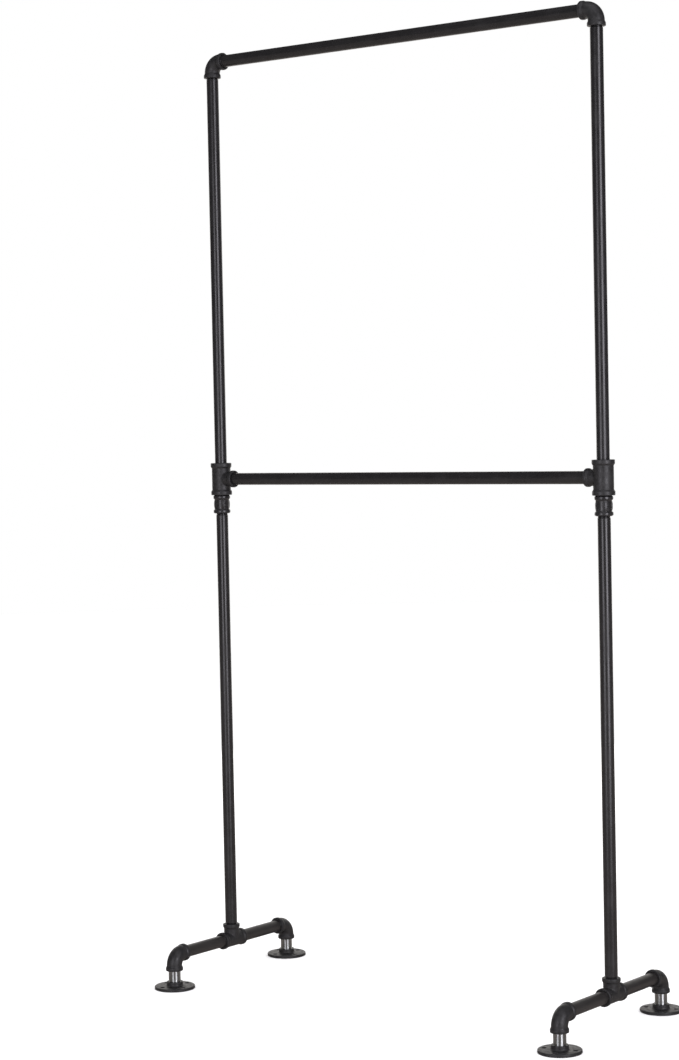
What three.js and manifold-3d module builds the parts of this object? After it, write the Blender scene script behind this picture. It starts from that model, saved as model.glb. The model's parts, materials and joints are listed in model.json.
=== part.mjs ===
// A free-standing double-rail clothes rack made of threaded black iron pipe and malleable iron
// fittings. Millimetres, +Z up, the floor at z = 0 and the origin midway between the four feet.
// X runs along the rails, from the left upright to the right one, and Y from front to back.

import * as THREE from 'three';
import { mergeVertices } from 'three/addons/utils/BufferGeometryUtils.js';
import Module from 'manifold-3d';

// ---- Driving dimensions --------------------------------------------------------------------

// Half-inch iron pipe, how far its thread runs into an elbow or a tee, and the play around it
const pipe = { radius: 10.5, boreRadius: 7.9 };
const threadDepth = 13;
const play = 0.3;

// The lengths that the pipes are cut to: 30 inches, 5 inches and 1 1/2 inches
const railLength = 762;
const uprightLength = 762;
const basePipeLength = 127;
const footNipple = { length: 38, grip: 9.6 };

// Half-inch elbows and tees: a thin body with a raised bead around each mouth
const fitting = {
  reach: 27.5,
  bodyRadius: 13.4,
  beadRadius: 15,
  beadLength: 5.5,
  bendRadius: 19,
  passageRadius: 8.6,
};
const bead = { taper: 2.5, edge: 0.7 };

// The mid tees are one size larger along the run, so the uprights pass straight through them
const midTee = {
  halfRun: 28.4,
  bodyRadius: 16.6,
  beadRadius: 18.5,
  beadLength: 6.5,
  boreRadius: 12.1,
  outletReach: 31,
};

// Coupling: a bead at each end, and between them ribs for the wrench. The first rib stands at
// this angle from the rail, mirrored from one side to the other.
const coupling = { length: 32.4, grip: 12, mouthRadius: 12.8, bevel: 1.6, neckRadius: 12.7 };
const couplingRibs = { count: 4, standOut: 1.3, halfWidth: 2.5, halfLength: 9.8 };
const firstRibAngle = THREE.MathUtils.degToRad(43);

// Floor flange: a round plate with a threaded collar and countersunk screw holes. The first
// hole of each flange points this far from the rail, mirrored from one side to the other.
const flange = {
  radius: 35,
  thickness: 5,
  height: 12.3,
  collarRadius: 14,
  footRadius: 17,
  footHeight: 7.6,
  edge: 0.8,
};
const screwHoles = { count: 4, circleRadius: 25.5, radius: 2.9, sinkRadius: 4.4, sinkDepth: 1.5 };
const firstHoleAngle = THREE.MathUtils.degToRad(15);

// How finely the round shapes are faceted
const sides = 16;
const holeSides = 10;
const bendSteps = 5;
const ribSides = { around: 8, along: 6 };

// ---- Places that follow from them ----------------------------------------------------------

const quarter = Math.PI / 2;
const overlap = 1;
const pipeHoleRadius = pipe.radius + play;

// How far a pipe's end stays from the axis of a half-inch fitting that it is screwed into
const pipeStart = fitting.reach - threadDepth;

const uprightX = railLength / 2 + pipeStart;
const footY = basePipeLength + 2 * pipeStart;

const footNippleZ = flange.height - footNipple.grip;
const baseZ = footNippleZ + footNipple.length - footNipple.grip + fitting.reach;
const lowerUprightZ = baseZ + pipeStart;
const couplingZ = lowerUprightZ + uprightLength - coupling.grip;
const upperUprightZ = couplingZ + coupling.length - coupling.grip;
const midRailZ = couplingZ + coupling.length + play + midTee.halfRun;
const topRailZ = upperUprightZ + uprightLength + pipeStart;

// ---- Materials -----------------------------------------------------------------------------

const blackPipe = { color: 0x2f2e30, roughness: 0.42, metalness: 0.55 };
const castIron = { color: 0x39373a, roughness: 0.68, metalness: 0.45 };
const brightPlate = { color: 0xd4d3d1, roughness: 0.12, metalness: 1 };

// ---- Solids --------------------------------------------------------------------------------

const wasm = await Module();
wasm.setup();

// A closed geometry as a solid that can be joined and cut
function solid(geometry) {
  const bare = geometry.clone();
  bare.deleteAttribute('normal');
  bare.deleteAttribute('uv');
  const merged = mergeVertices(bare, 1e-4);
  const corners = merged.index.array;
  const triVerts = [];
  for (let i = 0; i < corners.length; i += 3) {
    const [a, b, c] = corners.slice(i, i + 3);
    if (a !== b && b !== c && c !== a) {
      triVerts.push(a, b, c);
    }
  }
  return new wasm.Manifold(new wasm.Mesh({
    numProp: 3,
    vertProperties: new Float32Array(merged.attributes.position.array),
    triVerts: new Uint32Array(triVerts),
  }));
}

function geometryOf(manifold) {
  const mesh = manifold.getMesh();
  const geometry = new THREE.BufferGeometry();
  geometry.setAttribute('position', new THREE.BufferAttribute(mesh.vertProperties, 3));
  geometry.setIndex(new THREE.BufferAttribute(mesh.triVerts, 1));
  geometry.computeVertexNormals();
  return geometry;
}

const joined = (geometries) => geometries.map(solid).reduce((whole, piece) => whole.add(piece));
const cut = (body, tools) => tools.map(solid).reduce((left, tool) => left.subtract(tool), body);

// A round geometry about the Z axis, from [radius, height] points
function turned(points, segments = sides) {
  const outline = points.map(([radius, height]) => new THREE.Vector2(radius, height));
  return new THREE.LatheGeometry(outline, segments).rotateX(quarter);
}

function tube(length) {
  return turned([
    [pipe.boreRadius, 0],
    [pipe.radius, 0],
    [pipe.radius, length],
    [pipe.boreRadius, length],
    [pipe.boreRadius, 0],
  ]);
}

// One mouth of a fitting, pointing down from the fitting's centre, with its bead
function mouth({ reach, bodyRadius, beadRadius, beadLength }, innerEnd = 0) {
  return turned([
    [0, -reach],
    [beadRadius - bead.edge, -reach],
    [beadRadius, bead.edge - reach],
    [beadRadius, beadLength - reach],
    [bodyRadius, beadLength + bead.taper - reach],
    [bodyRadius, -innerEnd],
    [0, -innerEnd],
  ]);
}

// The room inside a mouth: the threaded hole for the pipe, then the narrower passage
function mouthHole(reach, innerEnd = 0) {
  const shoulder = play - pipeStart;
  return turned([
    [0, -reach - overlap],
    [pipeHoleRadius, -reach - overlap],
    [pipeHoleRadius, shoulder],
    [fitting.passageRadius, shoulder],
    [fitting.passageRadius, -innerEnd],
    [0, -innerEnd],
  ]);
}

// The quarter circle that an elbow bends through, from straight down to straight along +X
class Bend extends THREE.Curve {
  getPoint(t) {
    const angle = t * quarter;
    const radius = fitting.bendRadius;
    return new THREE.Vector3(radius - radius * Math.cos(angle), 0, radius * Math.sin(angle) - radius);
  }
}

function bendOf(radius) {
  const rim = Array.from({ length: sides }, (_, i) => {
    const angle = (i / sides) * 2 * Math.PI;
    return new THREE.Vector2(radius * Math.cos(angle), radius * Math.sin(angle));
  });
  const options = { steps: bendSteps, extrudePath: new Bend() };
  return new THREE.ExtrudeGeometry(new THREE.Shape(rim), options);
}

const towardsX = (geometry) => geometry.rotateY(-quarter);

// An elbow with one mouth down and the other along +X
function elbow() {
  const bodyEnd = fitting.bendRadius - overlap;
  const body = joined([
    bendOf(fitting.bodyRadius),
    mouth(fitting, bodyEnd),
    towardsX(mouth(fitting, bodyEnd)),
  ]);
  const holeEnd = pipeStart - play - overlap;
  return geometryOf(cut(body, [
    bendOf(fitting.passageRadius),
    mouthHole(fitting.reach, holeEnd),
    towardsX(mouthHole(fitting.reach, holeEnd)),
  ]));
}

// A tee with its run along Z and its outlet along +X
function baseTee() {
  const body = joined([mouth(fitting), mouth(fitting).rotateX(Math.PI), towardsX(mouth(fitting))]);
  return geometryOf(cut(body, [
    mouthHole(fitting.reach, -overlap),
    mouthHole(fitting.reach, -overlap).rotateX(Math.PI),
    towardsX(mouthHole(fitting.reach)),
  ]));
}

function slidingTee() {
  const runMouth = { ...midTee, reach: midTee.halfRun };
  const outlet = { ...fitting, reach: midTee.outletReach };
  const runHole = turned([
    [0, -midTee.halfRun - overlap],
    [midTee.boreRadius, -midTee.halfRun - overlap],
    [midTee.boreRadius, midTee.halfRun + overlap],
    [0, midTee.halfRun + overlap],
  ]);
  const body = joined([mouth(runMouth), mouth(runMouth).rotateX(Math.PI), towardsX(mouth(outlet))]);
  return geometryOf(cut(body, [runHole, towardsX(mouthHole(midTee.outletReach))]));
}

// A coupling that stands on z = 0
function ribbedCoupling(ribAngle) {
  const half = coupling.length / 2;
  const end = [
    [coupling.mouthRadius, -half],
    [fitting.beadRadius, coupling.bevel - half],
    [fitting.beadRadius, fitting.beadLength - half],
    [coupling.neckRadius, fitting.beadLength + bead.taper - half],
  ];
  const otherEnd = end.map(([radius, height]) => [radius, -height]).reverse();
  const sleeve = turned([[0, -half], ...end, ...otherEnd, [0, half]]);

  const ribs = Array.from({ length: couplingRibs.count }, (_, i) => {
    const angle = ribAngle + (i / couplingRibs.count) * 2 * Math.PI;
    return new THREE.SphereGeometry(1, ribSides.around, ribSides.along)
      .rotateX(quarter)
      .scale(2 * couplingRibs.standOut, couplingRibs.halfWidth, couplingRibs.halfLength)
      .translate(coupling.neckRadius - couplingRibs.standOut, 0, 0)
      .rotateZ(angle);
  });
  const hole = turned([
    [0, -half - overlap],
    [pipeHoleRadius, -half - overlap],
    [pipeHoleRadius, half + overlap],
    [0, half + overlap],
  ]);
  return geometryOf(cut(joined([sleeve, ...ribs]), [hole])).translate(0, 0, half);
}

function floorFlange(holeAngle) {
  const plate = turned([
    [0, 0],
    [flange.radius, 0],
    [flange.radius, flange.thickness - flange.edge],
    [flange.radius - flange.edge, flange.thickness],
    [flange.footRadius, flange.thickness],
    [flange.collarRadius, flange.footHeight],
    [flange.collarRadius, flange.height],
    [0, flange.height],
  ], 2 * sides);
  const collarHole = turned([
    [0, -overlap],
    [pipeHoleRadius, -overlap],
    [pipeHoleRadius, flange.height + overlap],
    [0, flange.height + overlap],
  ]);
  const holes = Array.from({ length: screwHoles.count }, (_, i) => {
    const angle = holeAngle + (i / screwHoles.count) * 2 * Math.PI;
    return turned([
      [0, -overlap],
      [screwHoles.radius, -overlap],
      [screwHoles.radius, flange.thickness - screwHoles.sinkDepth],
      [screwHoles.sinkRadius, flange.thickness],
      [screwHoles.sinkRadius, flange.thickness + overlap],
      [0, flange.thickness + overlap],
    ], holeSides)
      .translate(screwHoles.circleRadius, 0, 0)
      .rotateZ(angle);
  });
  return geometryOf(cut(solid(plate), [collarHole, ...holes]));
}

// ---- Assembly ------------------------------------------------------------------------------

const rack = new THREE.Group();

function place(name, geometry, finish, position, turn = 0) {
  const mesh = new THREE.Mesh(geometry, new THREE.MeshStandardMaterial(finish));
  mesh.name = name;
  mesh.position.set(...position);
  mesh.rotation.z = turn;
  rack.add(mesh);
}

const rail = tube(railLength).rotateY(quarter).translate(-railLength / 2, 0, 0);
const upright = tube(uprightLength);
const basePipe = tube(basePipeLength).rotateX(-quarter).translate(0, pipeStart, 0);
const footPipe = tube(footNipple.length);
const bend = elbow();
const midFitting = slidingTee();
const footedTee = baseTee().rotateY(-quarter).rotateZ(quarter);

place('top_rail', rail, blackPipe, [0, 0, topRailZ]);
place('mid_rail', rail, blackPipe, [0, 0, midRailZ]);

for (const [side, sign] of [['left', -1], ['right', 1]]) {
  const x = sign * uprightX;
  const inward = sign < 0 ? 0 : Math.PI;
  place(`top_elbow_${side}`, bend, castIron, [x, 0, topRailZ], inward);
  place(`upper_upright_${side}`, upright, blackPipe, [x, 0, upperUprightZ]);
  place(`mid_tee_${side}`, midFitting, castIron, [x, 0, midRailZ], inward);
  place(`coupling_${side}`, ribbedCoupling(sign * firstRibAngle), castIron, [x, 0, couplingZ]);
  place(`lower_upright_${side}`, upright, blackPipe, [x, 0, lowerUprightZ]);
  place(`base_tee_${side}`, footedTee, castIron, [x, 0, baseZ]);

  for (const [end, outward] of [['front', -1], ['back', 1]]) {
    const foot = [x, outward * footY, 0];
    const footAt = (z) => [foot[0], foot[1], z];
    const turn = outward < 0 ? Math.PI : 0;
    place(`base_pipe_${side}_${end}`, basePipe, blackPipe, [x, 0, baseZ], turn);
    place(`base_elbow_${side}_${end}`, bend, castIron, footAt(baseZ), -outward * quarter);
    place(`foot_nipple_${side}_${end}`, footPipe, brightPlate, footAt(footNippleZ));
    place(`floor_flange_${side}_${end}`, floorFlange(sign * firstHoleAngle), castIron, foot);
  }
}

export default rack;
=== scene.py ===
"""Looks for a clothes rack of black iron pipe, with cast fittings and bright foot nipples."""

import json
import math

import bmesh
import bpy
from bpy.props import FloatProperty, FloatVectorProperty, IntProperty, PointerProperty
from mathutils import Matrix, Vector

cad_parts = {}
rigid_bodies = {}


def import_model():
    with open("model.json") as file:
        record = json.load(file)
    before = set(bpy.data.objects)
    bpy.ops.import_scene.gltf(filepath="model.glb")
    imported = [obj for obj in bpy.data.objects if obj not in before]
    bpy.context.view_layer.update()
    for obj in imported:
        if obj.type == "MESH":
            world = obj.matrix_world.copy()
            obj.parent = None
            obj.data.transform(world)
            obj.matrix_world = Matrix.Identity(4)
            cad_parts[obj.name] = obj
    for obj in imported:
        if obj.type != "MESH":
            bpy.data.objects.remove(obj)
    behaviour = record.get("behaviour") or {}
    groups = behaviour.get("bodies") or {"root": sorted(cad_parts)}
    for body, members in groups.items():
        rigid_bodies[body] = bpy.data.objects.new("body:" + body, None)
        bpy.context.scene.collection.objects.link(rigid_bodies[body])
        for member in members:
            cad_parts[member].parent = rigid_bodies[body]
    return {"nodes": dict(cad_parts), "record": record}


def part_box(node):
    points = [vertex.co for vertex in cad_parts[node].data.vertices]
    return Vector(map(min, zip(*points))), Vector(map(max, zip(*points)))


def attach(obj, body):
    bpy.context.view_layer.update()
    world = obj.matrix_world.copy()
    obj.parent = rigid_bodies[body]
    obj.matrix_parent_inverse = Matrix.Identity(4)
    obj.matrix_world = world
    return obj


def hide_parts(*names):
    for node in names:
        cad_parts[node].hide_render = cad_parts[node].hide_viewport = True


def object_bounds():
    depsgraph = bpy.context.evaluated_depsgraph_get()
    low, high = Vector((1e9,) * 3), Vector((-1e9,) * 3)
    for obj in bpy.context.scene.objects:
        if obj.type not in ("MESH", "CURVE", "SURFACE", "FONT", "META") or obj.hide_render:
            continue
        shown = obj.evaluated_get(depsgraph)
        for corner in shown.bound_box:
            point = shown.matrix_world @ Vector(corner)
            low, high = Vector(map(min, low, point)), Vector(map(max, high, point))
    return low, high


bl_info = {
    "name": "Pipe clothes rack",
    "version": (1, 0, 0),
    "blender": (4, 5, 0),
    "location": "3D View > Sidebar > Pipe rack",
    "description": "Builds the fine meshes and finishes of a pipe clothes rack around its frame",
    "category": "Object",
}

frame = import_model()
CAD_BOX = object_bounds()

SIDES = ("left", "right")
ENDS = ("front", "back")
FEET = [f"{side}_{end}" for side in SIDES for end in ENDS]
UP = Vector((0, 0, 1))
TURN = 2 * math.pi
HALF_TURN = math.pi
QUARTER = math.pi / 2

# Tints of the lights
COOL = (0.94, 0.92, 1.0)
WARM = (1.0, 0.965, 0.93)

# Corners closer than WELD are one. Solids and cutters reach OVERLAP past each other.
WELD = 1e-7
OVERLAP = 0.001

# Edges with more than this angle between their faces stay crisp
CRISP_ANGLE = math.radians(32)

# A pipe's thread, in parts of its pitch: where the crest ends, and where the root lies
CREST_END, ROOT_START, ROOT_END = 0.2, 0.52, 0.62

# Depth of the thread inside a mouth and inside a mid tee's run, in parts of the pitch
MOUTH_THREAD, RUN_THREAD = 0.3, 0.45

BODY_OF = {
    node: body
    for body, nodes in frame["record"]["behaviour"]["bodies"].items()
    for node in nodes
}
SLOT_OF = {row["node"]: row["material_slot"] for row in frame["record"]["subparts"]}


# ---- Places read from the frame ------------------------------------------------------------------


def centre(node):
    low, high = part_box(node)
    return (low + high) / 2


def extent(node):
    low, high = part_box(node)
    return high - low


PIPE_RADIUS = extent("top_rail").z / 2
BEAD_RADIUS = extent("coupling_left").x / 2
FLANGE_RADIUS = extent("floor_flange_left_front").x / 2
FLANGE_HEIGHT = extent("floor_flange_left_front").z
RUN_BEAD_RADIUS = extent("mid_tee_left").y / 2
HALF_RUN = extent("mid_tee_left").z / 2
REACH = extent("base_tee_left").y / 2
OUTLET_REACH = extent("mid_tee_left").x - RUN_BEAD_RADIUS
COUPLING_LENGTH = extent("coupling_left").z

# How far a pipe's end stays from a fitting's centre, and how much of it the thread holds
PIPE_START = centre("upper_upright_right").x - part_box("top_rail")[1].x
GRIP = REACH - PIPE_START
COUPLING_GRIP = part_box("lower_upright_left")[1].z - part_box("coupling_left")[0].z


# ---- Settings that a user would change -----------------------------------------------------------


def length(name, description, default):
    return FloatProperty(
        name=name, description=description, default=default, min=0, unit="LENGTH", precision=5
    )


def colour(name, description, default):
    return FloatVectorProperty(
        name=name, description=description, default=default,
        min=0, max=1, size=3, subtype="COLOR",
    )


def share(name, description, default):
    return FloatProperty(
        name=name, description=description, default=default, min=0, max=1, subtype="FACTOR"
    )


class PipeSettings(bpy.types.PropertyGroup):
    """Pipes, their threads, their lacquer and the nipples' plate."""

    wall: length("Wall", "Thickness of the pipe's wall", 0.0026)
    exposed: length("Exposed thread", "Length of thread left outside a fitting", 0.0024)
    pitch: length("Pitch", "Distance from one thread to the next", 0.001814)
    depth: length("Thread depth", "Depth of a full thread", 0.0011)
    taper: length("Taper", "How much the thread narrows towards the end", 0.0004)
    lacquer: colour("Lacquer", "Colour of the black lacquer", (0.0075, 0.0069, 0.0074))
    haze: colour("Haze", "Colour of the thin grey haze on the lacquer", (0.0102, 0.0094, 0.0101))
    gloss: share("Roughness", "Roughness of clean lacquer", 0.24)
    # The base pipes' lacquer: paler and browner than on the rails and uprights
    base_pipe_tone: colour("Base_pipe_tone", "Colour of the dusty lacquer near the floor", (0.013, 0.0115, 0.0111))
    low_gloss: share("Low_gloss roughness", "Roughness of the dusty lacquer", 0.36)
    plate: colour("Plate", "Colour of the foot nipples' bright plate", (0.5, 0.52, 0.51))
    pale_plate: colour("Pale plate", "Colour of the plate's paler clouds", (0.6, 0.61, 0.6))


class FittingSettings(bpy.types.PropertyGroup):
    """Shape and finish of the half-inch elbows and tees."""

    body: length("Body radius", "Radius of the body between the beads", 0.0134)
    bead: length("Bead length", "Length of the bead at each mouth", 0.0055)
    taper: length("Bead taper", "Length of the slope from bead to body", 0.0025)
    edge: length("Bead edge", "Bevel on a bead's outer edge", 0.0006)
    bend: length("Bend radius", "Radius of an elbow's centre line", 0.019)
    passage: length("Passage radius", "Radius of the passage behind the threads", 0.0086)
    play: length("Play", "Room between a pipe and the mouth around it", 0.0003)
    bevel: length("Mouth bevel", "Countersink at each mouth", 0.0011)
    grain: length("Mesh grain", "Size of the facets of a casting", 0.0006)
    iron: colour("Iron", "Colour of the black iron", (0.0096, 0.0091, 0.0097))
    ash: colour("Ash", "Colour of the paler grains", (0.016, 0.015, 0.0162))
    # Lighter colour on pointed edges: partly rubbed wear, partly a painted edge highlight
    rub_and_edge_highlight: colour("Rubbed iron", "Colour where edges are rubbed", (0.035, 0.033, 0.033))
    roughness: share("Roughness", "Roughness of the casting", 0.43)


class SlidingTeeSettings(bpy.types.PropertyGroup):
    """The mid tees, whose run is one size larger."""

    body: length("Run radius", "Radius of the run's body", 0.0166)
    bead: length("Bead length", "Length of the run's beads", 0.0065)
    bore: length("Bore radius", "Radius of the bore that slides on an upright", 0.0121)
    thread: length("Thread", "Length of thread in each end of the run", 0.0145)


class CouplingSettings(bpy.types.PropertyGroup):
    """The ribbed couplings under the mid tees."""

    mouth: length("Mouth radius", "Outer radius at the very end", 0.0128)
    bevel: length("End bevel", "Length of the slope from end to bead", 0.0016)
    neck: length("Neck radius", "Radius between the ribs", 0.0127)
    ribs: IntProperty(name="Ribs", description="Number of ribs", default=4, min=0)
    first: FloatProperty(
        name="First rib",
        description="Angle of the first rib from the rail, mirrored on the left",
        default=math.radians(43),
        subtype="ANGLE",
    )
    rib_out: length("Rib height", "How far a rib stands out", 0.0013)
    rib_half_width: length("Rib half width", "Half the width of a rib", 0.0021)
    rib_half_length: length("Rib half length", "Half the length of a rib", 0.0098)
    gloss: share("Roughness", "Roughness of the coupling's oiled iron", 0.24)


class FlangeSettings(bpy.types.PropertyGroup):
    """The floor flanges."""

    plate: length("Plate", "Thickness of the plate", 0.005)
    edge: length("Plate edge", "Radius on the plate's upper edge", 0.0014)
    collar: length("Collar radius", "Outer radius of the collar", 0.014)
    fillet: length("Fillet", "Radius where the collar meets the plate", 0.0028)
    hole: length("Hole radius", "Radius of a screw hole", 0.0029)
    sink: length("Countersink radius", "Radius of a hole's mouth", 0.0044)
    sink_depth: length("Countersink depth", "Depth of a hole's cone", 0.0015)
    circle: length("Hole circle", "Radius of the circle of holes", 0.0255)
    holes: IntProperty(name="Holes", description="Number of screw holes", default=4, min=0)
    first: FloatProperty(
        name="First hole",
        description="Angle of the first hole from the rail, mirrored on the left",
        default=math.radians(15),
        subtype="ANGLE",
    )


class StudioSettings(bpy.types.PropertyGroup):
    """Camera, lights and floor."""

    eye: FloatVectorProperty(
        name="Camera", description="Where the camera stands", default=(2.377, -3.273, 0.973),
        size=3, subtype="TRANSLATION",
    )
    yaw: FloatProperty(name="Yaw", default=math.radians(37.48), subtype="ANGLE",
                       description="How far the camera turns left from looking along +Y")
    pitch: FloatProperty(name="Pitch", default=math.radians(-2.46), subtype="ANGLE",
                         description="How far the camera looks up")
    roll: FloatProperty(name="Roll", default=math.radians(-1.17), subtype="ANGLE",
                        description="How far the camera leans about its own view")
    lens: FloatProperty(name="Lens", description="Focal length on a 36 mm sensor in millimetres",
                        default=81.67, min=10)
    panel_power: FloatProperty(name="Panel power", description="Power of each softbox",
                               default=78, min=0, unit="POWER")
    top_power: FloatProperty(name="Top power", description="Power of the overhead softbox",
                             default=16, min=0, unit="POWER")
    back_power: FloatProperty(name="Backdrop power", description="Power of the dim backdrop",
                              default=52, min=0, unit="POWER")
    paper: colour("Floor", "Colour of the floor", (0.82, 0.82, 0.82))
    dim: colour("Dim floor", "Colour of the floor as the rack reflects it", (0.22, 0.195, 0.178))


# ---- Mesh work -----------------------------------------------------------------------------------


def basis(origin, x_axis, z_axis):
    """The transform that puts +X and +Z of a piece along two square directions."""
    x_axis, z_axis = x_axis.normalized(), z_axis.normalized()
    turn = Matrix((x_axis, z_axis.cross(x_axis), z_axis)).transposed()
    return Matrix.Translation(origin) @ turn.to_4x4()


def turned(outline, steps=64):
    """A closed bmesh turned about Z from (radius, height) points, on the axis or in a loop."""
    shape = bmesh.new()
    corners = [shape.verts.new((radius, 0, height)) for radius, height in outline]
    edges = [shape.edges.new(pair) for pair in zip(corners, corners[1:])]
    if outline[0][0] > 0:
        edges.append(shape.edges.new((corners[-1], corners[0])))
    bmesh.ops.spin(
        shape, geom=corners + edges, cent=(0, 0, 0), axis=UP, angle=TURN, steps=steps,
        use_merge=True,
    )
    bmesh.ops.remove_doubles(shape, verts=shape.verts, dist=WELD)
    bmesh.ops.recalc_face_normals(shape, faces=shape.faces)
    return shape


def quarter_bend(radius, bend):
    """A closed quarter of a ring, from straight down to straight along +X."""
    shape = bmesh.new()
    bmesh.ops.create_circle(shape, segments=64, radius=radius)
    bmesh.ops.translate(shape, verts=shape.verts, vec=(0, 0, -bend))
    bmesh.ops.spin(
        shape, geom=shape.verts[:] + shape.edges[:], cent=(bend, 0, -bend), axis=(0, 1, 0),
        angle=QUARTER, steps=24,
    )
    rims = [edge for edge in shape.edges if edge.is_boundary]
    bmesh.ops.holes_fill(shape, edges=rims)
    bmesh.ops.recalc_face_normals(shape, faces=shape.faces)
    return shape


def placed(shape, transform):
    """The same bmesh, moved."""
    bmesh.ops.transform(shape, matrix=transform, verts=shape.verts)
    return shape


def as_mesh(shape, name="shape"):
    """The mesh of a bmesh, which is freed."""
    mesh = bpy.data.meshes.new(name)
    shape.to_mesh(mesh)
    shape.free()
    return mesh


def gathered(shapes):
    """One bmesh that holds the faces of several, which are freed."""
    whole = bmesh.new()
    for shape in shapes:
        part = as_mesh(shape)
        whole.from_mesh(part)
        bpy.data.meshes.remove(part)
    return whole


def linked(name, data):
    """A new object in the scene for a mesh, a light or a camera."""
    made = bpy.data.objects.new(name, data)
    bpy.context.scene.collection.objects.link(made)
    return made


def helper(shape):
    """A passing object that holds a bmesh, which is freed."""
    return linked("helper", as_mesh(shape))


def discard(holder):
    """Takes away a passing object and its mesh."""
    mesh = holder.data
    bpy.data.objects.remove(holder)
    bpy.data.meshes.remove(mesh)


def applied(holder):
    """The mesh of a passing object with its modifiers applied. The object goes."""
    depsgraph = bpy.context.evaluated_depsgraph_get()
    made = bpy.data.meshes.new_from_object(holder.evaluated_get(depsgraph))
    discard(holder)
    return made


def smoothed(shape, verts, passes):
    """Evens out some corners of a bmesh, several times over."""
    for _ in range(passes):
        bmesh.ops.smooth_vert(
            shape, verts=verts, factor=0.5, use_axis_x=True, use_axis_y=True, use_axis_z=True
        )


def fused(shapes, grain, waist):
    """A casting: overlapping solids grown into one skin, with soft corners inside waist."""
    holder = helper(gathered(shapes))
    remesh = holder.modifiers.new("skin", "REMESH")
    remesh.mode = "VOXEL"
    remesh.voxel_size = grain
    mesh = applied(holder)
    shape = bmesh.new()
    shape.from_mesh(mesh)
    bpy.data.meshes.remove(mesh)
    smoothed(shape, [vert for vert in shape.verts if vert.co.length < waist], passes=4)
    smoothed(shape, shape.verts, passes=2)
    return shape


def bored(shape, cutters):
    """A solid with cutters taken out of it, as a mesh."""
    holder = helper(shape)
    tools = [helper(cutter) for cutter in cutters]
    for tool in tools:
        cut = holder.modifiers.new("cut", "BOOLEAN")
        cut.operation = "DIFFERENCE"
        cut.solver = "MANIFOLD"
        cut.object = tool
    mesh = applied(holder)
    for tool in tools:
        discard(tool)
    return mesh


def finish_piece(node, mesh, transform, material):
    """Puts a copy of a mesh in place of one frame node, with its finish and its body."""
    made = mesh.copy()
    made.transform(transform)
    made.materials.clear()
    made.materials.append(material)
    made.shade_smooth()
    made.set_sharp_from_angle(angle=CRISP_ANGLE)
    piece = linked(f"fine_{node}", made)
    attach(piece, BODY_OF[node])
    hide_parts(node)


# ---- Outlines ------------------------------------------------------------------------------------


def arc(middle, radius, start, stop, steps):
    """Points of an arc in the (radius, height) plane, angles in degrees from outwards."""
    angles = [math.radians(start + (stop - start) * i / steps) for i in range(steps + 1)]
    return [
        (middle[0] + radius * math.cos(angle), middle[1] + radius * math.sin(angle))
        for angle in angles
    ]


def thread_outline(radius, grip, exposed, pipes):
    """Outer points of a pipe end threaded up from height 0, a crest and a root to each turn."""
    stop = grip + exposed
    turns = int(stop / pipes.pitch)
    points = [(radius - pipes.taper - pipes.depth, 0)]
    for i in range(turns):
        height = stop - (turns - i) * pipes.pitch
        crest = radius - pipes.taper * (1 - i / turns)
        root = crest - pipes.depth
        points += [
            (crest, height),
            (crest, height + CREST_END * pipes.pitch),
            (root, height + ROOT_START * pipes.pitch),
            (root, height + ROOT_END * pipes.pitch),
        ]
    points.append((radius, stop))
    return points


def threaded_pipe(span, grip, exposed, pipes):
    """A pipe that stands on Z, threaded at both ends."""
    foot = thread_outline(PIPE_RADIUS, grip, exposed, pipes)
    head = [(radius, span - height) for radius, height in reversed(foot)]
    inner = PIPE_RADIUS - pipes.wall
    return as_mesh(turned([(inner, 0), *foot, *head, (inner, span)]))


def mouth(reach, body, bead, bead_length, fittings, inner_end=0.0):
    """A solid mouth that points down from a fitting's centre."""
    return turned([
        (0, -reach),
        (bead - fittings.edge, -reach),
        (bead, fittings.edge - reach),
        (bead, bead_length - reach),
        (body, bead_length + fittings.taper - reach),
        (body, -inner_end),
        (0, -inner_end),
    ])


def inner_thread(hole, low, high, pitch, depth):
    """Points of a threaded hole between two heights, in whole turns from the lower one."""
    points, height = [], low
    while height + pitch < high:
        points += [(hole + depth * pitch, height + 0.5 * pitch), (hole, height + pitch)]
        height += pitch
    return points


def mouth_hole(reach, stop, fittings, pitch, inner_end=0.0):
    """The cutter for a mouth: countersink, internal thread up to stop, then the passage."""
    hole = PIPE_RADIUS + fittings.play
    outside = -reach - 2 * OVERLAP
    start = fittings.bevel - reach
    return turned([
        (0, outside),
        (hole + fittings.bevel, outside),
        (hole + fittings.bevel, -reach),
        (hole, start),
        *inner_thread(hole, start, -stop, pitch, MOUTH_THREAD),
        (hole, -stop),
        (fittings.passage, -stop),
        (fittings.passage, -inner_end),
        (0, -inner_end),
    ])


# Turns that point a mouth along +X or up
TO_X = Matrix.Rotation(-QUARTER, 4, "Y")
UPSIDE_DOWN = Matrix.Rotation(HALF_TURN, 4, "X")


# ---- Materials -----------------------------------------------------------------------------------


def socket_group(name, inputs, outputs):
    """A shader node group. Inputs have a name, a kind and a default, outputs are values."""
    group = bpy.data.node_groups.new(name, "ShaderNodeTree")
    for label, kind, default in inputs:
        made = group.interface.new_socket(label, in_out="INPUT", socket_type=kind)
        if default is not None:
            made.default_value = default
    for label in outputs:
        group.interface.new_socket(label, in_out="OUTPUT", socket_type="NodeSocketFloat")
    return group, group.nodes.new("NodeGroupInput"), group.nodes.new("NodeGroupOutput")


def noise(tree, vector, scale, detail=4.0, rough=0.55):
    """Noise of a size given as a number or a socket."""
    node = tree.nodes.new("ShaderNodeTexNoise")
    node.inputs["Detail"].default_value = detail
    node.inputs["Roughness"].default_value = rough
    tree.links.new(vector, node.inputs["Vector"])
    if isinstance(scale, bpy.types.NodeSocket):
        tree.links.new(scale, node.inputs["Scale"])
    else:
        node.inputs["Scale"].default_value = scale
    return node.outputs["Fac"]


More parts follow.
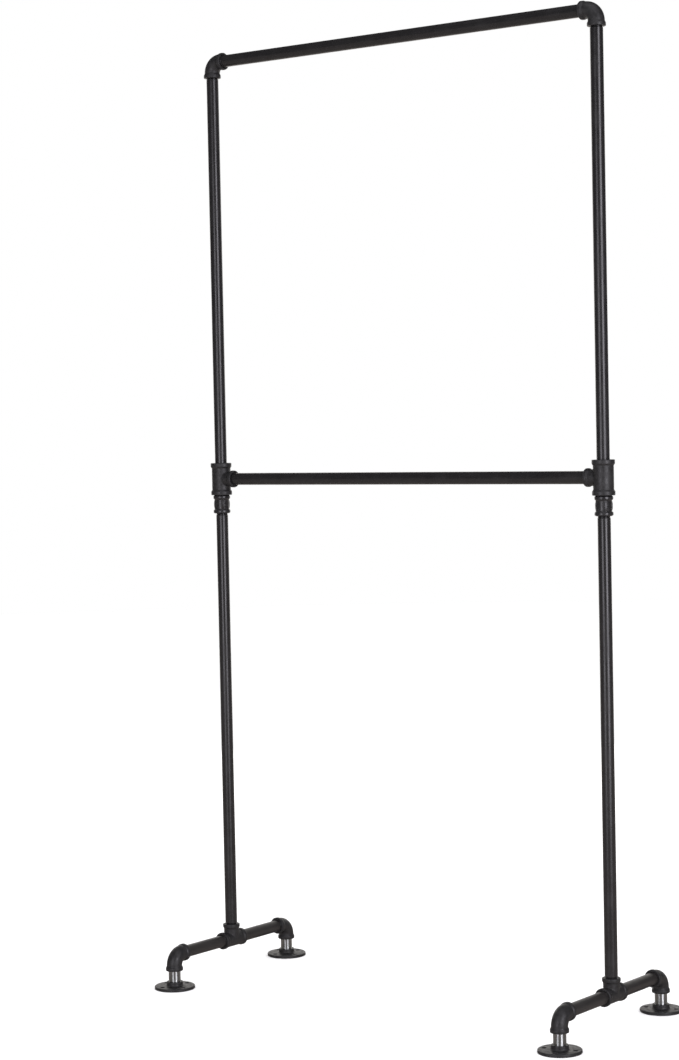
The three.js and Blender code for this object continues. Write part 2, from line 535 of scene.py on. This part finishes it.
def maths(tree, operation, first, second):
    """One arithmetic step on two values. Each is a number or a socket."""
    node = tree.nodes.new("ShaderNodeMath")
    node.operation = operation
    for value, entry in zip((first, second), node.inputs):
        if isinstance(value, bpy.types.NodeSocket):
            tree.links.new(value, entry)
        else:
            entry.default_value = value
    return node.outputs[0]


def weighted(tree, *terms):
    """Sockets added up, each times its own weight."""
    total = None
    for socket, weight in terms:
        term = maths(tree, "MULTIPLY", socket, weight)
        total = term if total is None else maths(tree, "ADD", total, term)
    return total


def ranged(tree, value, low, high, to_low=0.0, to_high=1.0):
    """A smooth step of a value from one range to another."""
    node = tree.nodes.new("ShaderNodeMapRange")
    node.interpolation_type = "SMOOTHSTEP"
    tree.links.new(value, node.inputs["Value"])
    limits = {"From Min": low, "From Max": high, "To Min": to_low, "To Max": to_high}
    for label, number in limits.items():
        node.inputs[label].default_value = number
    return node.outputs["Result"]


def blended(tree, mask, first, second):
    """Two colours mixed by a mask. Each is a colour or a socket."""
    node = tree.nodes.new("ShaderNodeMix")
    node.data_type = "RGBA"
    tree.links.new(mask, node.inputs["Factor"])
    for value, entry in zip((first, second), (node.inputs[6], node.inputs[7])):
        if isinstance(value, bpy.types.NodeSocket):
            tree.links.new(value, entry)
        else:
            entry.default_value = (*value, 1)
    return node.outputs[2]


def cast_grain_group():
    """Sand-cast skin: a height for bumps, and pale grains."""
    tree, entry, result = socket_group(
        "cast_grain",
        [("Vector", "NodeSocketVector", None), ("Grains per metre", "NodeSocketFloat", 900.0)],
        ["Height", "Grains", "Mottle"],
    )
    vector, scale = entry.outputs["Vector"], entry.outputs["Grains per metre"]
    lump_scale = maths(tree, "MULTIPLY", scale, 0.22)
    pit_scale = maths(tree, "MULTIPLY", scale, 0.55)
    fine = noise(tree, vector, scale, detail=5.0, rough=0.62)
    lumps = noise(tree, vector, lump_scale, detail=3.0, rough=0.5)
    pits = tree.nodes.new("ShaderNodeTexVoronoi")
    pits.feature = "SMOOTH_F1"
    tree.links.new(vector, pits.inputs["Vector"])
    tree.links.new(pit_scale, pits.inputs["Scale"])
    height = weighted(tree, (fine, 0.5), (lumps, 0.9), (pits.outputs["Distance"], 0.35))
    tree.links.new(height, result.inputs["Height"])
    tree.links.new(ranged(tree, fine, 0.56, 0.7), result.inputs["Grains"])
    tree.links.new(ranged(tree, lumps, 0.35, 0.65), result.inputs["Mottle"])
    return tree


def rubbed_and_highlit_edge_group():
    """Lighter pointed edges, broken up by noise: partly rubbed wear, partly a painted edge
    highlight.
    """
    tree, entry, result = socket_group(
        "rubbed_and_highlit_edges",
        [("Vector", "NodeSocketVector", None), ("Start", "NodeSocketFloat", 0.54)],
        ["Rubbed"],
    )
    geometry = tree.nodes.new("ShaderNodeNewGeometry")
    sharp = maths(tree, "SUBTRACT", geometry.outputs["Pointiness"], entry.outputs["Start"])
    worn_and_highlit = ranged(tree, sharp, 0.0, 0.06)
    patches_per_metre = 260.0
    broken = ranged(tree, noise(tree, entry.outputs["Vector"], patches_per_metre), 0.4, 0.66)
    tree.links.new(maths(tree, "MULTIPLY", worn_and_highlit, broken), result.inputs["Rubbed"])
    return tree


def lacquer_group():
    """Black lacquer on drawn pipe: lengthwise lines, orange peel, haze and specks."""
    tree, entry, result = socket_group(
        "lacquer",
        [("Along", "NodeSocketVector", None), ("Vector", "NodeSocketVector", None)],
        ["Height", "Haze", "Specks"],
    )
    along, vector = entry.outputs["Along"], entry.outputs["Vector"]
    lines = noise(tree, along, scale=1.0, detail=3.0, rough=0.6)
    peel = noise(tree, vector, scale=520.0, detail=2.0, rough=0.5)
    cloud = noise(tree, vector, scale=34.0, detail=4.0, rough=0.6)
    specks = noise(tree, vector, scale=1500.0, detail=2.0, rough=0.5)
    tree.links.new(weighted(tree, (lines, 0.8), (peel, 0.6)), result.inputs["Height"])
    haze = weighted(tree, (cloud, 0.6), (lines, 0.4))
    tree.links.new(ranged(tree, haze, 0.38, 0.66), result.inputs["Haze"])
    tree.links.new(ranged(tree, specks, 0.66, 0.74), result.inputs["Specks"])
    return tree


def shared_group(name, maker):
    """A node group that is built once, the first time a material needs it."""
    return bpy.data.node_groups.get(name) or maker()


def new_material(name):
    """A material with its Principled BSDF and a coordinate node."""
    material = bpy.data.materials.new(name)
    material.use_nodes = True
    tree = material.node_tree
    shader = tree.nodes["Principled BSDF"]
    position = tree.nodes.new("ShaderNodeTexCoord").outputs["Object"]
    return material, tree, shader, position


def grouped(tree, group, **links):
    """A node group placed in a material, with its inputs linked."""
    node = tree.nodes.new("ShaderNodeGroup")
    node.node_tree = group
    for label, socket in links.items():
        tree.links.new(socket, node.inputs[label])
    return node


def tinted(colour_value, factor=1.0):
    """A colour made lighter or darker, as plain numbers."""
    return tuple(factor * channel for channel in colour_value)


def bumped(tree, shader, height, distance):
    """Bumps made from a height. Distance is how tall a height of one stands."""
    bump = tree.nodes.new("ShaderNodeBump")
    bump.inputs["Distance"].default_value = distance
    tree.links.new(height, bump.inputs["Height"])
    tree.links.new(bump.outputs["Normal"], shader.inputs["Normal"])


# Height of the bumps in lacquer or oil, and of the grain on bare castings
LACQUER_RELIEF = 0.00001
CAST_RELIEF = 0.00018


def lacquered_pipe(axis):
    """Black lacquer on pipes along one axis. The base pipes, along Y, get a paler, browner and
    rougher lacquer.
    """
    name = f"lacquered_pipe_{axis}"
    if name in bpy.data.materials:
        return bpy.data.materials[name]
    pipes = bpy.context.scene.rack_pipes
    material, tree, shader, position = new_material(name)
    stretch = tree.nodes.new("ShaderNodeMapping")
    across, along = 700.0, 9.0
    stretch.inputs["Scale"].default_value = [along if a == axis else across for a in "xyz"]
    tree.links.new(position, stretch.inputs["Vector"])
    skin = grouped(
        tree, shared_group("lacquer", lacquer_group),
        Along=stretch.outputs["Vector"], Vector=position,
    )
    # The base pipes get a paler, browner colour and a rougher lacquer than the rails and uprights
    if axis == "y":
        clean, hazy, gloss = pipes.base_pipe_tone, tinted(pipes.base_pipe_tone, 1.3), pipes.low_gloss
    else:
        clean, hazy, gloss = pipes.lacquer, pipes.haze, pipes.gloss
    hazed = blended(tree, skin.outputs["Haze"], tinted(clean), tinted(hazy))
    specked = blended(tree, skin.outputs["Specks"], hazed, tinted(hazy, 2))
    tree.links.new(specked, shader.inputs["Base Color"])
    duller = 0.12
    rough = ranged(tree, skin.outputs["Haze"], 0.0, 1.0, gloss, gloss + duller)
    tree.links.new(rough, shader.inputs["Roughness"])
    bumped(tree, shader, skin.outputs["Height"], distance=LACQUER_RELIEF)
    return material


def cast_iron():
    """The bare castings: elbows, tees and flanges."""
    return iron("cast_iron", bpy.context.scene.rack_fittings.roughness, CAST_RELIEF)


def oiled_iron():
    """The smooth and glossier iron of the couplings."""
    return iron("oiled_iron", bpy.context.scene.rack_couplings.gloss, LACQUER_RELIEF)


def iron(name, roughness, relief):
    """Black malleable iron, with pale grains, and lighter edges that are partly rubbed wear and
    partly a painted highlight.
    """
    if name in bpy.data.materials:
        return bpy.data.materials[name]
    fittings = bpy.context.scene.rack_fittings
    material, tree, shader, position = new_material(name)
    skin = grouped(tree, shared_group("cast_grain", cast_grain_group), Vector=position)
    edges = grouped(tree, shared_group("rubbed_and_highlit_edges", rubbed_and_highlit_edge_group), Vector=position)
    mottle = skin.outputs["Mottle"]
    base = blended(tree, mottle, tinted(fittings.iron), tinted(fittings.iron, 1.35))
    grained = blended(tree, skin.outputs["Grains"], base, tinted(fittings.ash))
    # Pointed edges turn lighter: partly rubbed wear, partly a painted edge highlight
    worn_and_highlit = blended(tree, edges.outputs["Rubbed"], grained, tinted(fittings.rub_and_edge_highlight))
    tree.links.new(worn_and_highlit, shader.inputs["Base Color"])
    glossier, duller = 0.05, 0.1
    rough = ranged(tree, mottle, 0.0, 1.0, roughness - glossier, roughness + duller)
    tree.links.new(rough, shader.inputs["Roughness"])
    shader.inputs["Specular IOR Level"].default_value = 0.42
    bumped(tree, shader, skin.outputs["Height"], relief)
    return material


def bright_plate():
    """Bright plated steel, whose highlights draw out into upright strips."""
    if "bright_plate" in bpy.data.materials:
        return bpy.data.materials["bright_plate"]
    pipes = bpy.context.scene.rack_pipes
    material, tree, shader, position = new_material("bright_plate")
    cloud = noise(tree, position, scale=120.0, detail=3.0, rough=0.6)
    clouded = ranged(tree, cloud, 0.35, 0.7)
    tone = blended(tree, clouded, tinted(pipes.plate), tinted(pipes.pale_plate))
    tree.links.new(tone, shader.inputs["Base Color"])
    rough = ranged(tree, cloud, 0.3, 0.7, to_low=0.37, to_high=0.4)
    tree.links.new(rough, shader.inputs["Roughness"])
    shader.inputs["Metallic"].default_value = 1.0
    shader.inputs["Anisotropic"].default_value = 1.0
    upwards = tree.nodes.new("ShaderNodeCombineXYZ")
    upwards.inputs["Z"].default_value = 1.0
    tree.links.new(upwards.outputs["Vector"], shader.inputs["Tangent"])
    return material


# ---- Operators -----------------------------------------------------------------------------------


class RACK_OT_pipes(bpy.types.Operator):
    """Make the rails, the uprights and the base pipes, threaded at both ends"""

    bl_idname = "rack.pipes"
    bl_label = "Pipes"

    def execute(self, context):
        pipes = context.scene.rack_pipes
        shapes = {}
        for node in frame["nodes"]:
            if SLOT_OF[node] != "black_pipe":
                continue
            size = extent(node)
            axis = max(range(3), key=lambda i: size[i])
            span = round(size[axis], 6)
            if span not in shapes:
                shapes[span] = threaded_pipe(span, GRIP, pipes.exposed, pipes)
            along = Vector([float(i == axis) for i in range(3)])
            across = Vector([float(i == (axis + 1) % 3) for i in range(3)])
            start = centre(node) - along * span / 2
            finish_piece(
                node, shapes[span], basis(start, across, along), lacquered_pipe("xyz"[axis])
            )
        return {"FINISHED"}


class RACK_OT_nipples(bpy.types.Operator):
    """Make the four bright nipples between the base elbows and the floor flanges"""

    bl_idname = "rack.nipples"
    bl_label = "Foot nipples"

    def execute(self, context):
        pipes = context.scene.rack_pipes
        span = extent("foot_nipple_left_front").z
        grip = FLANGE_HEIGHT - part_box("foot_nipple_left_front")[0].z
        shape = threaded_pipe(span, grip, 0, pipes)
        for foot_name in FEET:
            node = f"foot_nipple_{foot_name}"
            low = centre(node) - UP * span / 2
            finish_piece(node, shape, Matrix.Translation(low), bright_plate())
        return {"FINISHED"}


class RACK_OT_elbows(bpy.types.Operator):
    """Make the two top elbows and the four base elbows"""

    bl_idname = "rack.elbows"
    bl_label = "Elbows"

    def execute(self, context):
        fittings, pipes = context.scene.rack_fittings, context.scene.rack_pipes
        end = fittings.bend - OVERLAP
        arm = (REACH, fittings.body, BEAD_RADIUS, fittings.bead, fittings)
        body = fused(
            [
                quarter_bend(fittings.body, fittings.bend),
                mouth(*arm, end),
                placed(mouth(*arm, end), TO_X),
            ],
            fittings.grain,
            waist=0.0,
        )
        stop = PIPE_START - fittings.play
        hole = (REACH, stop, fittings, pipes.pitch, stop - OVERLAP)
        shape = bored(body, [
            quarter_bend(fittings.passage, fittings.bend),
            mouth_hole(*hole),
            placed(mouth_hole(*hole), TO_X),
        ])
        for side in SIDES:
            upright = centre(f"upper_upright_{side}")
            corner = Vector((upright.x, upright.y, centre("top_rail").z))
            inwards = Vector((-corner.x, 0, 0))
            finish_piece(f"top_elbow_{side}", shape, basis(corner, inwards, UP), cast_iron())
            for end_name in ENDS:
                pipe = centre(f"base_pipe_{side}_{end_name}")
                foot = centre(f"foot_nipple_{side}_{end_name}")
                corner = Vector((foot.x, foot.y, pipe.z))
                place = basis(corner, pipe - corner, UP)
                finish_piece(f"base_elbow_{side}_{end_name}", shape, place, cast_iron())
        return {"FINISHED"}


class RACK_OT_base_tees(bpy.types.Operator):
    """Make the tees that carry the lower uprights"""

    bl_idname = "rack.base_tees"
    bl_label = "Base tees"

    def execute(self, context):
        fittings, pipes = context.scene.rack_fittings, context.scene.rack_pipes
        arm = (REACH, fittings.body, BEAD_RADIUS, fittings.bead, fittings)
        turns = (Matrix(), UPSIDE_DOWN, TO_X)
        waist = REACH - fittings.bead - fittings.taper
        body = fused([placed(mouth(*arm), turn) for turn in turns], fittings.grain, waist)
        hole = (REACH, PIPE_START - fittings.play, fittings, pipes.pitch, -OVERLAP)
        shape = bored(body, [placed(mouth_hole(*hole), turn) for turn in turns])
        for side in SIDES:
            upright = centre(f"lower_upright_{side}")
            run = centre(f"base_pipe_{side}_back") - centre(f"base_pipe_{side}_front")
            middle = Vector((upright.x, upright.y, centre(f"base_pipe_{side}_back").z))
            finish_piece(f"base_tee_{side}", shape, basis(middle, UP, run), cast_iron())
        return {"FINISHED"}


class RACK_OT_sliding_tees(bpy.types.Operator):
    """Make the larger tees that carry the mid rail and slide on the upper uprights"""

    bl_idname = "rack.sliding_tees"
    bl_label = "Sliding tees"

    def execute(self, context):
        scene = context.scene
        fittings, pipes, tee = scene.rack_fittings, scene.rack_pipes, scene.rack_sliding_tees
        run = (HALF_RUN, tee.body, RUN_BEAD_RADIUS, tee.bead, fittings)
        outlet = (OUTLET_REACH, fittings.body, BEAD_RADIUS, fittings.bead, fittings)
        body = fused(
            [mouth(*run), placed(mouth(*run), UPSIDE_DOWN), placed(mouth(*outlet), TO_X)],
            fittings.grain,
            waist=HALF_RUN - tee.bead - fittings.taper,
        )
        hole = (OUTLET_REACH, PIPE_START - fittings.play, fittings, pipes.pitch)
        shape = bored(body, [
            self.run_hole(tee, fittings, pipes.pitch),
            placed(mouth_hole(*hole), TO_X),
        ])
        for side in SIDES:
            upright = centre(f"upper_upright_{side}")
            middle = Vector((upright.x, upright.y, centre("mid_rail").z))
            place = basis(middle, Vector((-middle.x, 0, 0)), UP)
            finish_piece(f"mid_tee_{side}", shape, place, cast_iron())
        return {"FINISHED"}

    def run_hole(self, tee, fittings, pitch):
        """The run's cutter, threaded at both ends and a little wider between them."""
        outside, start = -HALF_RUN - 2 * OVERLAP, fittings.bevel - HALF_RUN
        wide, widening = tee.bore + fittings.bevel, 0.0008
        low = [(0, outside), (wide, outside), (wide, -HALF_RUN), (tee.bore, start)]
        low += inner_thread(tee.bore, start, tee.thread - HALF_RUN, pitch, RUN_THREAD)
        low.append((tee.bore + widening, low[-1][1] + pitch))
        return turned([*low, *((radius, -height) for radius, height in reversed(low))])


class RACK_OT_couplings(bpy.types.Operator):
    """Make the ribbed couplings that join the uprights and stop the mid tees"""

    bl_idname = "rack.couplings"
    bl_label = "Couplings"

    def execute(self, context):
        scene = context.scene
        fittings, pipes, coupling = scene.rack_fittings, scene.rack_pipes, scene.rack_couplings
        half = COUPLING_LENGTH / 2
        fine_grain = fittings.grain * 0.7
        end = [
            (coupling.mouth, -half),
            (BEAD_RADIUS, coupling.bevel - half),
            (BEAD_RADIUS, fittings.bead - half),
            (coupling.neck, fittings.bead + fittings.taper - half),
        ]
        other = [(radius, -height) for radius, height in reversed(end)]
        hole = (half, half - COUPLING_GRIP - fittings.play, fittings, pipes.pitch, -OVERLAP)
        for side, sign in zip(SIDES, (-1, 1)):
            ribs = [self.rib(coupling, sign, i) for i in range(coupling.ribs)]
            sleeve = turned([(0, -half), *end, *other, (0, half)])
            body = fused([sleeve, *ribs], fine_grain, waist=0.0)
            shape = bored(body, [mouth_hole(*hole), placed(mouth_hole(*hole), UPSIDE_DOWN)])
            node = f"coupling_{side}"
            finish_piece(node, shape, Matrix.Translation(centre(node)), oiled_iron())
        return {"FINISHED"}

    def rib(self, coupling, sign, number):
        """One rib, the rim of a long flat disc that is sunk in the sleeve."""
        shape = bmesh.new()
        width = 2 * coupling.rib_half_width
        bmesh.ops.create_cone(
            shape, cap_ends=True, segments=64, radius1=1, radius2=1, depth=width
        )
        placed(shape, Matrix.Rotation(QUARTER, 4, "X"))
        size = (2 * coupling.rib_out, 1, coupling.rib_half_length)
        bmesh.ops.scale(shape, verts=shape.verts, vec=size)
        bmesh.ops.translate(shape, verts=shape.verts, vec=(coupling.neck - coupling.rib_out, 0, 0))
        angle = sign * coupling.first + TURN * number / coupling.ribs
        return placed(shape, Matrix.Rotation(angle, 4, "Z"))


class RACK_OT_flanges(bpy.types.Operator):
    """Make the four floor flanges, with their countersunk screw holes"""

    bl_idname = "rack.flanges"
    bl_label = "Floor flanges"

    def execute(self, context):
        scene = context.scene
        fittings, pipes, flange = scene.rack_fittings, scene.rack_pipes, scene.rack_flanges
        for side, sign in zip(SIDES, (-1, 1)):
            shape = self.shape(sign, flange, fittings, pipes)
            for end_name in ENDS:
                node = f"floor_flange_{side}_{end_name}"
                middle = centre(node)
                place = Matrix.Translation((middle.x, middle.y, 0))
                finish_piece(node, shape, place, cast_iron())
        return {"FINISHED"}

    def shape(self, sign, flange, fittings, pipes):
        """One flange with its bottom on the floor and its collar up."""
        chamfer, lip = 0.0004, 0.0008
        edge = (FLANGE_RADIUS - flange.edge, flange.plate - flange.edge)
        corner = (flange.collar + flange.fillet, flange.plate + flange.fillet)
        plate = turned(
            [
                (0, 0),
                (FLANGE_RADIUS - chamfer, 0),
                (FLANGE_RADIUS, chamfer),
                *arc(edge, flange.edge, 0, 90, steps=5),
                *arc(corner, flange.fillet, 270, 180, steps=7),
                *arc((flange.collar - lip, FLANGE_HEIGHT - lip), lip, 0, 90, steps=4),
                (0, FLANGE_HEIGHT),
            ],
            steps=128,
        )
        cutters = [self.collar_hole(fittings, pipes.pitch)]
        for i in range(flange.holes):
            angle = sign * flange.first + TURN * i / flange.holes
            turn = Matrix.Rotation(angle, 4, "Z") @ Matrix.Translation((flange.circle, 0, 0))
            cutters.append(placed(self.screw_hole(flange), turn))
        return bored(plate, cutters)

    def collar_hole(self, fittings, pitch):
        """The threaded hole through the collar, countersunk on top."""
        hole = PIPE_RADIUS + fittings.play
        stop, outside = FLANGE_HEIGHT - fittings.bevel, FLANGE_HEIGHT + OVERLAP
        return turned([
            (0, -OVERLAP),
            (hole, -OVERLAP),
            *inner_thread(hole, 0.0, stop, pitch, MOUTH_THREAD),
            (hole, stop),
            (hole + fittings.bevel, FLANGE_HEIGHT),
            (hole + fittings.bevel, outside),
            (0, outside),
        ])

    def screw_hole(self, flange):
        """A straight hole with a cone at the plate's upper face."""
        return turned(
            [
                (0, -OVERLAP),
                (flange.hole, -OVERLAP),
                (flange.hole, flange.plate - flange.sink_depth),
                (flange.sink, flange.plate),
                (flange.sink, flange.plate + OVERLAP),
                (0, flange.plate + OVERLAP),
            ],
            steps=32,
        )


class RACK_OT_stage(bpy.types.Operator):
    """Set the floor, the softboxes, the world and the camera"""

    bl_idname = "rack.stage"
    bl_label = "Stage"

    def execute(self, context):
        studio = context.scene.rack_studio
        self.floor(studio)
        self.world()
        self.camera(studio)
        middle = (CAD_BOX[0] + CAD_BOX[1]) / 2
        self.softbox(
            "left_panel", studio, middle, swing=-31, size=(1.35, 1.9), height=0.75, part=0.42
        )
        self.softbox(
            "right_panel", studio, middle, swing=34, size=(1.3, 2.6), height=0.95, part=0.92
        )
        self.backdrop(studio, middle)
        self.overhead(studio, middle)
        context.scene.view_settings.view_transform = "Standard"
        return {"FINISHED"}

    def floor(self, studio):
        """A round of pale paper, which is dim and warm in reflections."""
        shape = bmesh.new()
        bmesh.ops.create_circle(shape, cap_ends=True, segments=96, radius=9)
        floor = linked("floor", as_mesh(shape, "floor"))
        material, tree, shader, position = new_material("paper")
        tone = ranged(tree, noise(tree, position, scale=2.0), 0.3, 0.7)
        blend = blended(tree, tone, tinted(studio.paper), tinted(studio.paper, 0.985))
        rays = tree.nodes.new("ShaderNodeLightPath")
        dimmed = blended(tree, rays.outputs["Is Glossy Ray"], blend, tinted(studio.dim))
        tree.links.new(dimmed, shader.inputs["Base Color"])
        shader.inputs["Roughness"].default_value = 0.9
        shader.inputs["Specular IOR Level"].default_value = 0.1
        floor.data.materials.append(material)

    def world(self):
        """White to the camera, a fill on matt skin, and nearly dark in reflections."""
        world = bpy.data.worlds.new("studio")
        bpy.context.scene.world = world
        world.use_nodes = True
        tree = world.node_tree
        back = tree.nodes["Background"]
        rays = tree.nodes.new("ShaderNodeLightPath")
        fill_strength, reflected_strength = 1.3, 0.08
        fill = maths(tree, "MULTIPLY", rays.outputs["Is Diffuse Ray"], fill_strength)
        seen = maths(tree, "ADD", rays.outputs["Is Camera Ray"], fill)
        strength = maths(tree, "MAXIMUM", seen, reflected_strength)
        tree.links.new(strength, back.inputs["Strength"])
        back.inputs["Color"].default_value = (1, 1, 1, 1)

    def camera(self, studio):
        data = bpy.data.cameras.new("camera")
        data.lens = studio.lens
        data.sensor_width = 36
        camera = linked("camera", data)
        turn = (
            Matrix.Rotation(studio.yaw, 4, "Z")
            @ Matrix.Rotation(QUARTER + studio.pitch, 4, "X")
            @ Matrix.Rotation(studio.roll, 4, "Z")
        )
        camera.matrix_world = Matrix.Translation(studio.eye) @ turn
        bpy.context.scene.camera = camera

    def softbox(self, name, studio, middle, swing, size, height, part):
        """A tall panel, swung by some degrees from the camera, with a part of the panels' power."""
        eye = Vector(studio.eye) - middle
        away = Matrix.Rotation(math.radians(swing), 3, "Z") @ Vector((eye.x, eye.y, 0))
        nearness = 0.8
        place = middle + away * nearness
        place.z = height
        self.area(name, place, middle, size, studio.panel_power * part, COOL)

    def backdrop(self, studio, middle):
        """A wide warm light behind the rack, caught by upward faces and by its outlines."""
        eye = Vector(studio.eye) - middle
        nearness, height = 0.75, 1.3
        place = middle - Vector((eye.x, eye.y, 0)) * nearness
        place.z = height
        self.area("backdrop", place, middle, size=(6, 2.4), power=studio.back_power, tint=WARM)

    def overhead(self, studio, middle):
        """A square softbox above the front of the rack."""
        offset, size = Vector((0.6, -0.9, 2.6)), (2.2, 2.2)
        self.area("overhead", middle + offset, middle, size, studio.top_power, COOL)

    def area(self, name, place, target, size, power, tint):
        """An area light turned to a target, hidden from the camera."""
        data = bpy.data.lights.new(name, "AREA")
        data.color = tint
        data.shape = "RECTANGLE"
        data.size, data.size_y = size
        data.energy = power
        light = linked(name, data)
        light.location = place
        light.rotation_euler = (place - target).to_track_quat("Z", "Y").to_euler()
        light.visible_camera = False


class RACK_PT_panel(bpy.types.Panel):
    """Lists the steps that build the rack"""

    bl_label = "Pipe rack"
    bl_idname = "RACK_PT_panel"
    bl_space_type = "VIEW_3D"
    bl_region_type = "UI"
    bl_category = "Pipe rack"

    def draw(self, context):
        for step in STEPS:
            self.layout.operator(step.bl_idname)
        for name in GROUPS:
            settings = getattr(context.scene, name)
            box = self.layout.box()
            for field in settings.__annotations__:
                box.prop(settings, field)


STEPS = (
    RACK_OT_stage,
    RACK_OT_pipes,
    RACK_OT_nipples,
    RACK_OT_elbows,
    RACK_OT_base_tees,
    RACK_OT_sliding_tees,
    RACK_OT_couplings,
    RACK_OT_flanges,
)
GROUPS = {
    "rack_pipes": PipeSettings,
    "rack_fittings": FittingSettings,
    "rack_sliding_tees": SlidingTeeSettings,
    "rack_couplings": CouplingSettings,
    "rack_flanges": FlangeSettings,
    "rack_studio": StudioSettings,
}


def register():
    for kind in (*GROUPS.values(), *STEPS, RACK_PT_panel):
        bpy.utils.register_class(kind)
    for name, kind in GROUPS.items():
        setattr(bpy.types.Scene, name, PointerProperty(type=kind))


def unregister():
    for name in GROUPS:
        delattr(bpy.types.Scene, name)
    for kind in reversed((*GROUPS.values(), *STEPS, RACK_PT_panel)):
        bpy.utils.unregister_class(kind)


def clear_scene():
    """Takes away the start-up cube, light and camera."""
    for thing in list(bpy.data.objects):
        if thing.name in ("Cube", "Light", "Camera"):
            bpy.data.objects.remove(thing)


def main():
    register()
    clear_scene()
    bpy.ops.rack.stage()
    bpy.ops.rack.pipes()
    bpy.ops.rack.nipples()
    bpy.ops.rack.elbows()
    bpy.ops.rack.base_tees()
    bpy.ops.rack.sliding_tees()
    bpy.ops.rack.couplings()
    bpy.ops.rack.flanges()


if __name__ == "__main__":
    main()
